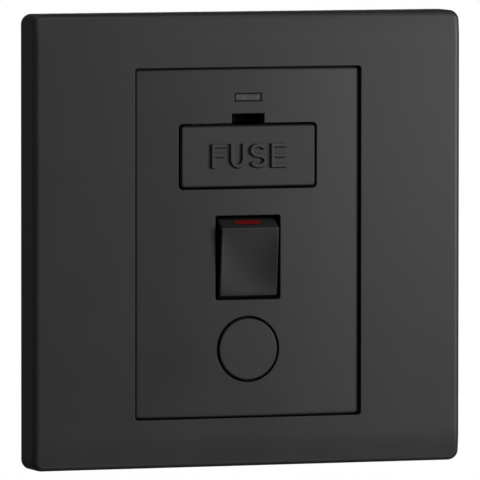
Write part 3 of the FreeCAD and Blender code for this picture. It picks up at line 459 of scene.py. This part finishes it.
def letterS(wide, high, stroke):
    half = stroke / 2
    reach = (wide - stroke) / 2
    rise = (high - stroke) / 4
    path = []
    for bow, level in (("upper", high - half - rise), ("lower", half + rise)):
        share, start, end = letterForm["bows"][bow]
        path += arc((wide / 2, level), (reach * share, rise), start, end)
    return strip(path, half)


letterShapes = {"F": letterF, "U": letterU, "S": letterS, "E": letterE}


def shrunk(outline, by):
    # The outline moved inwards by a distance, each corner mitred
    area = sum(a.x * b.y - b.x * a.y for a, b in zip(outline, outline[1:] + outline[:1]))
    sign = 1 if area > 0 else -1
    moved = []
    for index, point in enumerate(outline):
        before, after = outline[index - 1], outline[(index + 1) % len(outline)]
        first, second = (point - before).normalized(), (after - point).normalized()
        inward = (Vector((-first.y, first.x)) + Vector((-second.y, second.x))) * sign
        share = max(inward.length_squared / 2, letterForm["sharpest"])
        moved.append(point + inward * by / share)
    return moved


def addPoint(form, place):
    return form.verts.new([value * metre for value in place])


def bridge(form, rings):
    # Four-sided faces between each closed ring of points and the next
    for low, high in zip(rings, rings[1:]):
        for index in range(len(low)):
            following = (index + 1) % len(low)
            form.faces.new((low[index], low[following], high[following], high[index]))


def letterPiece(name, outline, origin, look):
    # Rings from the sunk foot to the flat top, joined by leaning walls
    form = bmesh.new()
    draft, straight = look["draft"], Vector((0, 0))
    levels = ((-look["sink"], 0, Vector(look["lean"])),
              (look["rise"] - look["ease"], draft, straight),
              (look["rise"], draft + look["ease"], straight))
    rings = []
    for level, inset, shift in levels:
        ring = [point + shift for point in shrunk(outline, inset)]
        rings.append([addPoint(form, (origin[0] + point.x, origin[1] - level, origin[2] + point.y))
                      for point in ring])
    bridge(form, rings)
    form.faces.new(rings[0])
    form.faces.new(rings[-1])
    bmesh.ops.recalc_face_normals(form, faces=form.faces)
    mesh = bpy.data.meshes.new(name)
    form.to_mesh(mesh)
    form.free()
    made = addObject(name, mesh)
    made.data.materials.append(letterPlastic)
    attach(made, "fuse_drawer")


drawerLow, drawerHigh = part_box("fuse_carrier")
letterFoot = (drawerLow.z + drawerHigh.z) / 2 / metre + lettering["lift"] - lettering["height"] / 2
for letter, (left, wide) in lettering["across"].items():
    outline = letterShapes[letter](wide, lettering["height"], lettering["stroke"])
    letterPiece("letter" + letter, outline, (left, drawerLow.y / metre, letterFoot), lettering)
print("lettering made")


# Coils and screws, repeated by geometry graphs

roundSteps = {"coil": 28, "wire": 10, "thread": 3, "rod": 40}      # of a turn or a round section


class Form(Graph):
    # A geometry tree with named sizes in millimetres, run on points
    def __init__(self, name, sizes):
        tree = bpy.data.node_groups.new(name, "GeometryNodeTree")
        tree.interface.new_socket("Places", in_out="INPUT", socket_type="NodeSocketGeometry")
        for key, value in sizes.items():
            made = tree.interface.new_socket(key, in_out="INPUT", socket_type="NodeSocketFloat")
            made.default_value = value
        tree.interface.new_socket("Pieces", in_out="OUTPUT", socket_type="NodeSocketGeometry")
        super().__init__(tree)
        self.places = self.node("NodeGroupInput", output="Places")
        self.size = {key: self.node("NodeGroupInput", output=key) for key in sizes}

    def spot(self, x=0.0, y=0.0, z=0.0):
        return self.node("ShaderNodeCombineXYZ", {"X": x, "Y": y, "Z": z})

    def moved(self, shape, along):
        return self.node("GeometryNodeTransform", {"Geometry": shape, "Translation": self.spot(z=along)})

    def joined(self, *shapes):
        return self.node("GeometryNodeJoinGeometry", {"Geometry": list(reversed(shapes))})

    # Booleans of closed shapes
    def common(self, *shapes):
        return self.node("GeometryNodeMeshBoolean", {"Mesh 2": list(shapes)}, operation="INTERSECT",
                         solver="EXACT")

    def cut(self, shape, tool):
        return self.node("GeometryNodeMeshBoolean", {"Mesh 1": shape, "Mesh 2": tool},
                         operation="DIFFERENCE", solver="EXACT")

    # A section swept along a helix that climbs from the origin
    def coil(self, radius, turns, high, wire, section):
        path = self.node("GeometryNodeCurveSpiral",
                         {"Resolution": roundSteps["coil"], "Rotations": turns, "Height": high,
                          "Start Radius": radius, "End Radius": radius})
        profile = self.node("GeometryNodeCurvePrimitiveCircle",
                            {"Resolution": roundSteps[section], "Radius": wire})
        return self.node("GeometryNodeCurveToMesh",
                         {"Curve": path, "Profile Curve": profile, "Fill Caps": True})

    # A cylinder from the origin down
    def rod(self, radius, long):
        sizes = {"Vertices": roundSteps["rod"], "Radius": radius, "Depth": long}
        return self.moved(self.node("GeometryNodeMeshCylinder", sizes), long * -0.5)

    # One shape on each point, its own Z laid along the unit's Y and leaned by an angle
    def close(self, shape, material, lean):
        turn = self.spot(x=lean * math.radians(1) - math.radians(90))
        many = self.node("GeometryNodeInstanceOnPoints",
                         {"Points": self.places, "Instance": shape, "Rotation": turn,
                          "Scale": (metre, metre, metre)})
        plain = self.node("GeometryNodeRealizeInstances", {0: many})
        named = self.node("GeometryNodeSetMaterial", {"Geometry": plain, "Material": material})
        self.node("NodeGroupOutput", {"Pieces": named})


def grow(name, form, sizes, places):
    # Runs a form on places in millimetres and keeps the result as a plain mesh
    mesh = bpy.data.meshes.new(name)
    mesh.from_pydata([[value * metre for value in place] for place in places], [], [])
    made = addObject(name, mesh)
    maker = made.modifiers.new("maker", "NODES")
    maker.node_group = form.tree
    known = {item.name: item.identifier for item in form.tree.interface.items_tree
             if item.in_out == "INPUT"}
    for key, value in sizes.items():
        maker[known[key]] = value
    made.update_tag()
    grown = made.evaluated_get(bpy.context.evaluated_depsgraph_get())
    plain = bpy.data.meshes.new_from_object(grown)
    made.modifiers.remove(maker)
    made.data = plain
    tidyMesh(plain)
    return made


meshTidy = {"merge": 0.001, "sharp": 35}      # points closer are merged, edges steeper are kept sharp


def tidyMesh(mesh):
    # Doubles merged, faces turned outwards and smooth up to the sharp edges
    form = bmesh.new()
    form.from_mesh(mesh)
    bmesh.ops.remove_doubles(form, verts=form.verts, dist=meshTidy["merge"] * metre)
    bmesh.ops.recalc_face_normals(form, faces=form.faces)
    for face in form.faces:
        face.smooth = True
    sharp = math.radians(meshTidy["sharp"])
    for edge in form.edges:
        edge.smooth = len(edge.link_faces) == 2 and edge.calc_face_angle(math.pi) < sharp
    form.to_mesh(mesh)
    form.free()


rockerLean = 5.57      # of the rocker at rest
joints = {joint["name"]: joint for joint in part["behaviour"]["joints"]}
rockerPivot = [value / metre for value in joints["rocker_pivot"]["pos_m"]]


def onRocker(x, y, z):
    # A point of the rocker's own frame, in the unit's frame
    turn = math.radians(rockerLean)
    return (x, rockerPivot[1] + y * math.cos(turn) - z * math.sin(turn),
            rockerPivot[2] + y * math.sin(turn) + z * math.cos(turn))


spring = {"Coil": 1.13, "Turns": 6.5, "Long": 6.31, "Wire": 0.21, "Lean": rockerLean}
springFoot = {"across": 3.2, "front": -2.38}      # on each side of the rocker's pivot
springForm = Form("springForm", spring)
given = springForm.size
coil = springForm.coil(given["Coil"], given["Turns"], given["Long"], given["Wire"], "wire")
springForm.close(coil, looks["spring_steel"], given["Lean"])
springPlaces = [onRocker(side * springFoot["across"], springFoot["front"], 0) for side in (-1, 1)]
springs = grow("plungerSprings", springForm, spring, springPlaces)
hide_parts("plunger_spring_live", "plunger_spring_neutral")
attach(springs, "switch_rocker")

screw = {"Head": 2.6, "Head High": 1.8, "Shank": 1.7, "Long": 4.4, "Slot": 0.8, "Slot Deep": 0.8,
         "Pitch": 0.7, "Thread": 0.16, "Lean": 0.0}
housingScrew = {"Head": 2.4, "Shank": 1.3, "Pitch": 1.1, "Thread": 0.22}      # what differs
screwShares = {
    "cone": (0.86, 1.6),      # of the head's radius: top and foot of the cone that chamfers the head
    "slot": 3.0,              # of the head's radius: the slot's run
    "shank": 0.95,            # of the head's height: where the shank begins
    # the thread's foot as shares of the head's height and the shank's length, and its height
    "thread": (0.98, 0.95, 0.94),
}
screwForm = Form("screwForm", screw)
given = screwForm.size
coneTop, coneFoot = screwShares["cone"]
flare = screwForm.node("GeometryNodeMeshCone",
                       {"Vertices": roundSteps["rod"], "Depth": given["Head High"],
                        "Radius Top": given["Head"] * coneTop, "Radius Bottom": given["Head"] * coneFoot})
flare = screwForm.moved(flare, given["Head High"] * -1.0)
head = screwForm.common(screwForm.rod(given["Head"], given["Head High"]), flare)
slotSize = screwForm.spot(given["Slot"], given["Head"] * screwShares["slot"], given["Slot Deep"] * 2.0)
head = screwForm.cut(head, screwForm.node("GeometryNodeMeshCube", {"Size": slotSize}))
root = given["Shank"] - given["Thread"]
core = screwForm.moved(screwForm.rod(root, given["Long"]), given["Head High"] * -screwShares["shank"])
past, down, high = screwShares["thread"]
ridge = screwForm.coil(root, given["Long"] / given["Pitch"], given["Long"] * high, given["Thread"],
                       "thread")
ridge = screwForm.moved(ridge, given["Head High"] * -past - given["Long"] * down)
screwForm.close(screwForm.joined(head, core, ridge), looks["zinc_steel"], given["Lean"])


def seatedScrews(name, screwNodes, changes):
    # Screws in the places of the plain ones, their heads' tops at the same level
    sizes = dict(screw, **changes)
    places = []
    for node in screwNodes:
        low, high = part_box(node)
        middle = middleOf(node)
        places.append((middle.x, high.y / metre, middle.z))
        sizes["Long"] = (high.y - low.y) / metre - sizes["Head High"]
    made = grow(name, screwForm, sizes, places)
    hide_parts(*screwNodes)
    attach(made, "unit")


terminalNames = ("supply_live", "supply_neutral", "earth", "load_neutral", "load_live")
seatedScrews("terminalScrews", [name + "_screw" for name in terminalNames], {})
seatedScrews("housingScrews", ["housing_screw_1", "housing_screw_2"], housingScrew)
print("springs and screws grown")


# The rocker's face: a finger hollow between straight edges

rockerFace = {
    "half": (5.782, 6.43),
    "front": -7.832,      # level of the face's edges, from the pivot
    "hollow": 0.45,       # depth
    "bend": 41.6,         # radius of the hollow from top to bottom
    "fade": 0.9,          # how fast the hollow rises to the sides
    "edge": 0.19,
    "foot": -6.95,        # where the skin ends inside the rocker
    "steps": (30, 36),
}


def rockerSkin(name, look):
    halfX, halfZ = look["half"]
    bend, edge = look["bend"], look["edge"]
    sides, ups = ([-1 + 2 * step / steps for step in range(steps + 1)] for steps in look["steps"])
    form = bmesh.new()
    grid = []
    for up in ups:
        sag = max(look["hollow"] - bend + math.sqrt(bend ** 2 - (up * halfZ) ** 2), 0)
        row = [(side * (halfX - edge), look["front"] + sag * (1 - side ** 2) ** look["fade"],
                up * (halfZ - edge)) for side in sides]
        grid.append([addPoint(form, onRocker(*point)) for point in row])
    for low, high in zip(grid, grid[1:]):
        for index in range(len(low) - 1):
            form.faces.new((low[index], low[index + 1], high[index + 1], high[index]))
    # round the rim: out over the bevelled edge, then back into the rocker
    right, top = len(sides) - 1, len(ups) - 1
    rim = [(0, column) for column in range(right)] + [(row, right) for row in range(top)]
    rim += [(top, column) for column in range(right, 0, -1)] + [(row, 0) for row in range(top, 0, -1)]
    rings = [[grid[row][column] for row, column in rim]]
    for level in (look["front"] + edge, look["foot"]):
        rings.append([addPoint(form, onRocker(sides[column] * halfX, level, ups[row] * halfZ))
                      for row, column in rim])
    bridge(form, rings)
    form.faces.new(rings[-1])
    mesh = bpy.data.meshes.new(name)
    form.to_mesh(mesh)
    form.free()
    tidyMesh(mesh)
    made = addObject(name, mesh)
    made.data.materials.append(looks["rocker_plastic"])
    return made


skin = rockerSkin("rockerFace", rockerFace)
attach(skin, "switch_rocker")
print("rocker face made")


# Camera, fitted to the photograph

view = {"turn": -19.863, "rise": 3.422, "roll": 0.039, "distance": 1809.187, "across": -0.805,
        "up": 0.462, "lens": 714.509, "sensor": 36, "clip": (50, 20000)}


def direction(turn, rise):
    # Towards a viewer who has gone round from the front by a turn, and up by a rise
    return Vector((math.sin(turn) * math.cos(rise), -math.cos(turn) * math.cos(rise), math.sin(rise)))


def makeCamera(look):
    turn, rise, roll = (math.radians(look[key]) for key in ("turn", "rise", "roll"))
    back = direction(turn, rise)
    right = Vector((math.cos(turn), math.sin(turn), 0))
    up = back.cross(right)
    right, up = (right * math.cos(roll) + up * math.sin(roll),
                 up * math.cos(roll) - right * math.sin(roll))
    place = (back * look["distance"] - right * look["across"] - up * look["up"]) * metre
    data = bpy.data.cameras.new("camera")
    data.lens = look["lens"]
    data.sensor_width = look["sensor"]
    data.clip_start, data.clip_end = (reach * metre for reach in look["clip"])
    made = addObject("camera", data)
    made.matrix_world = Matrix(((right.x, up.x, back.x, place.x), (right.y, up.y, back.y, place.y),
                                (right.z, up.z, back.z, place.z), (0, 0, 0, 1)))
    bpy.context.scene.camera = made


makeCamera(view)


# Lights, each from a turn and a rise as the camera's

lamps = {
    "key": {"from": (52, 9), "distance": 0.4, "power": 0.76, "size": (0.09, 0.12)},
    "near": {"from": (36, 6), "distance": 0.25, "power": 0.07, "size": (0.08, 0.1)},
    "upper": {"from": (0, 48), "distance": 0.4, "power": 0.27, "size": (0.12, 0.1)},
    "lower": {"from": (25, -45), "distance": 0.4, "power": 0.17, "size": (0.25, 0.15)},
    "left": {"from": (-62, 5), "distance": 0.5, "power": 0.05, "size": (0.1, 0.2)},
    "side": {"from": (-125, 5), "distance": 0.5, "power": 0.06, "size": (0.3, 0.3)},
    "crown": {"from": (60, 112), "distance": 0.5, "power": 0.15, "size": (0.2, 0.2)},
    "rear": {"from": (158, -6), "distance": 0.6, "power": 2.3, "size": (0.25, 0.25)},
}


def makeLamp(name, look):
    back = direction(*(math.radians(angle) for angle in look["from"]))
    data = bpy.data.lights.new(name, "AREA")
    data.shape = "RECTANGLE"
    data.size, data.size_y = look["size"]
    data.energy = look["power"]
    made = addObject(name, data)
    made.location = back * look["distance"]
    made.rotation_mode = "QUATERNION"
    made.rotation_quaternion = back.to_track_quat("Z", "Y")


for name, look in lamps.items():
    makeLamp(name, look)

backdrop = {"white": 1.0, "glossy": 0.05, "room": 0.01}      # as seen, as mirrored, as light


def makeWorld(look):
    world = bpy.data.worlds.new("room")
    world.use_nodes = True
    bpy.context.scene.world = world
    graph = Graph(world.node_tree)
    graph.tree.nodes.clear()
    seen, through, mirrored = (graph.node("ShaderNodeLightPath", output=f"Is {ray} Ray")
                               for ray in ("Camera", "Transmission", "Glossy"))
    plain = graph.maths("MAXIMUM", seen, through)
    strength = plain * look["white"] + mirrored * look["glossy"] + (1 - plain) * look["room"]
    shown = graph.node("ShaderNodeBackground", {"Color": (1, 1, 1, 1), "Strength": strength})
    graph.node("ShaderNodeOutputWorld", {"Surface": shown})


makeWorld(backdrop)
bpy.context.scene.view_settings.view_transform = "Standard"
print("camera and lights set")
